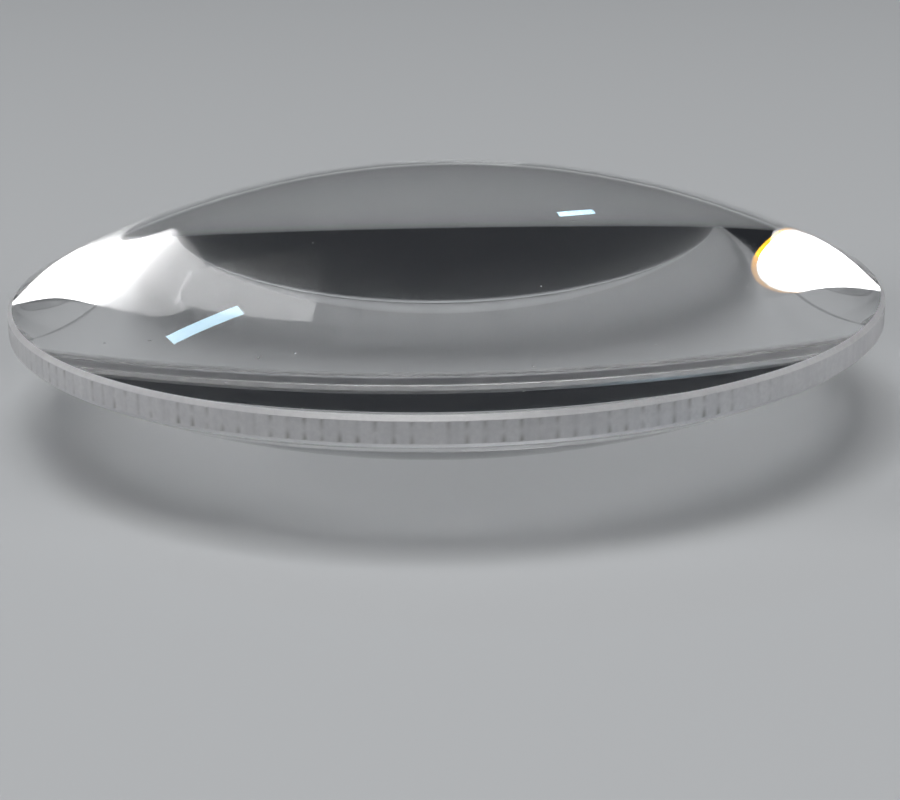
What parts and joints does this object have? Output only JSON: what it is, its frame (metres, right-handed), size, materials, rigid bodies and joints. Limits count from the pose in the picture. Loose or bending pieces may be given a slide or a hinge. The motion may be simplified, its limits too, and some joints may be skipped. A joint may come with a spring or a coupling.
{
  "type": "biconvex lens",
  "caption": "Round biconvex glass lens with polished spherical faces and a bevelled, fine-ground cylindrical edge, for focusing light.",
  "frame": {"origin": "vertex of the lower polished face, on the optical axis, which is the point that the lens lies on", "axes": "+Z along the optical axis, from the lower face to the upper face; +X and +Y across the lens, which is round, so they are free"},
  "size_m": [0.1, 0.1, 0.0278],
  "materials": {
    "optical_glass": "clear colourless crown glass, polished faces, fine-ground white edge and rim bevels"
  },
  "bodies": {
    "root": {"lens": "optical_glass"}
  },
  "joints": []
}
